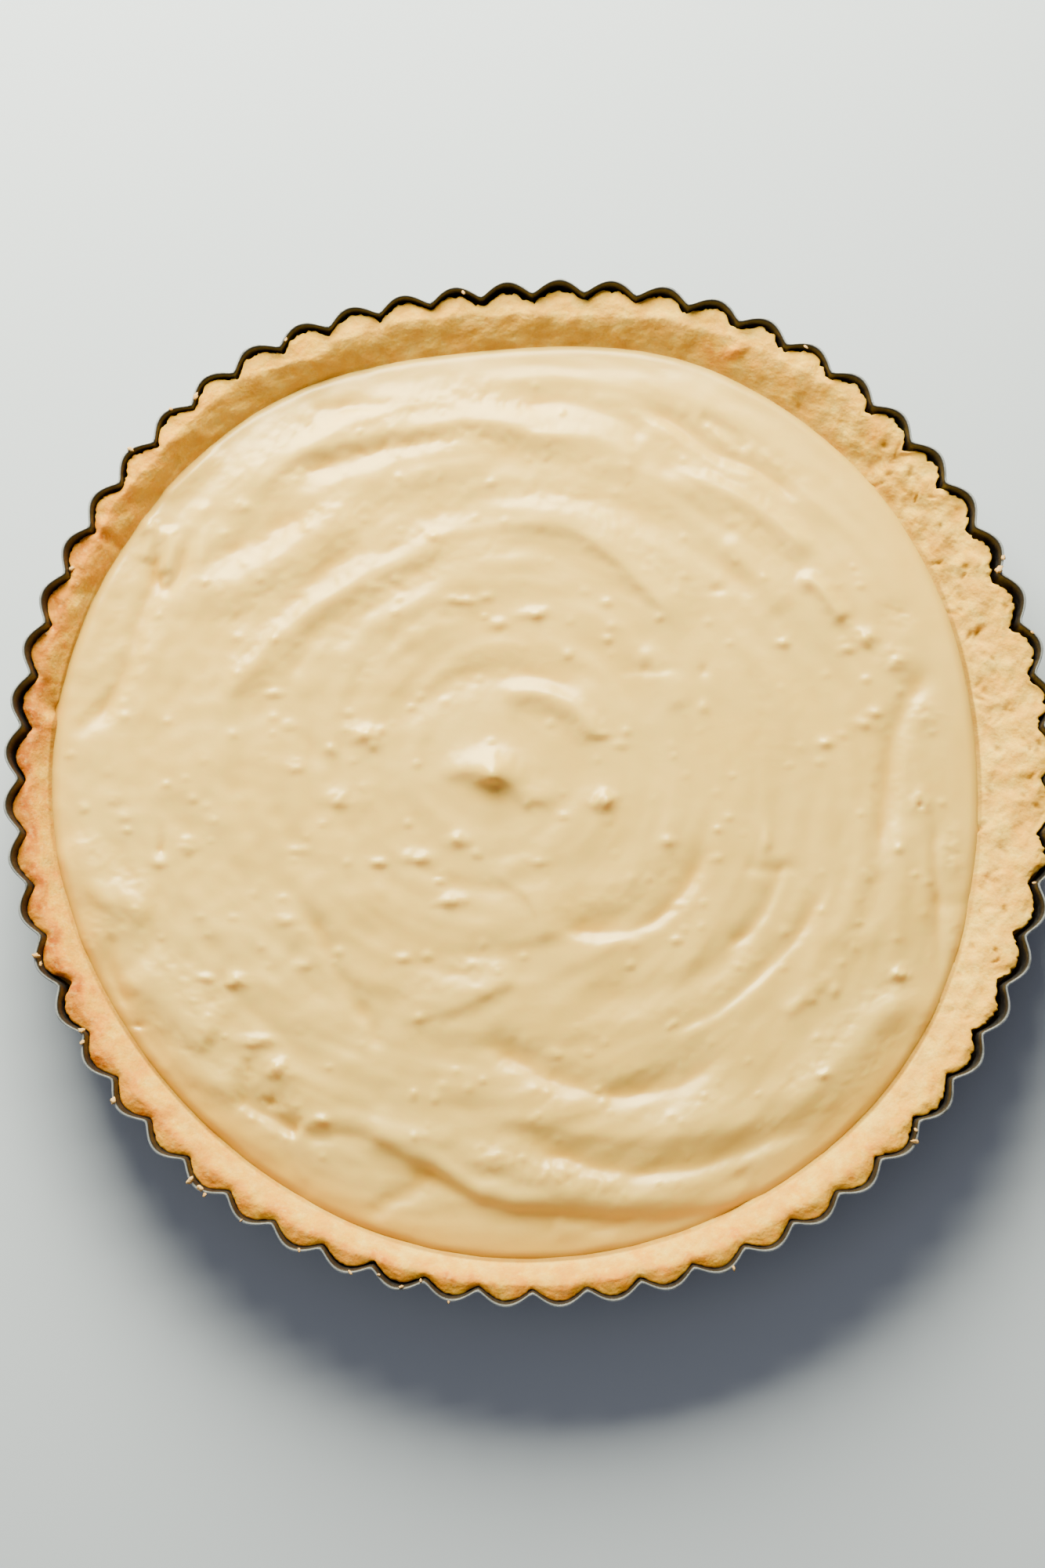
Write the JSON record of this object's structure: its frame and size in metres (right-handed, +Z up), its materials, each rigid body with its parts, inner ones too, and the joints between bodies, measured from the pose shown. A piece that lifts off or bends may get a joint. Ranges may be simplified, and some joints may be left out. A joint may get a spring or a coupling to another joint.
{
  "type": "custard tart",
  "caption": "Round custard tart in its fluted baking tin: a shortcrust case with an uneven rim, filled with custard swirled by a spatula.",
  "frame": {"origin": "on the underside of the tin, below the middle of its outline", "axes": "+Z up out of the tart, +X to the right and +Y to the back, where the tin's rim is pushed in"},
  "size_m": [0.2396, 0.2362, 0.026],
  "materials": {
    "tin": "dark satin non-stick coating",
    "pastry": "matte, crumbly",
    "custard": "soft satin"
  },
  "bodies": {
    "root": {"tin": "tin", "pastry_case": "pastry", "custard": "custard"}
  },
  "joints": []
}
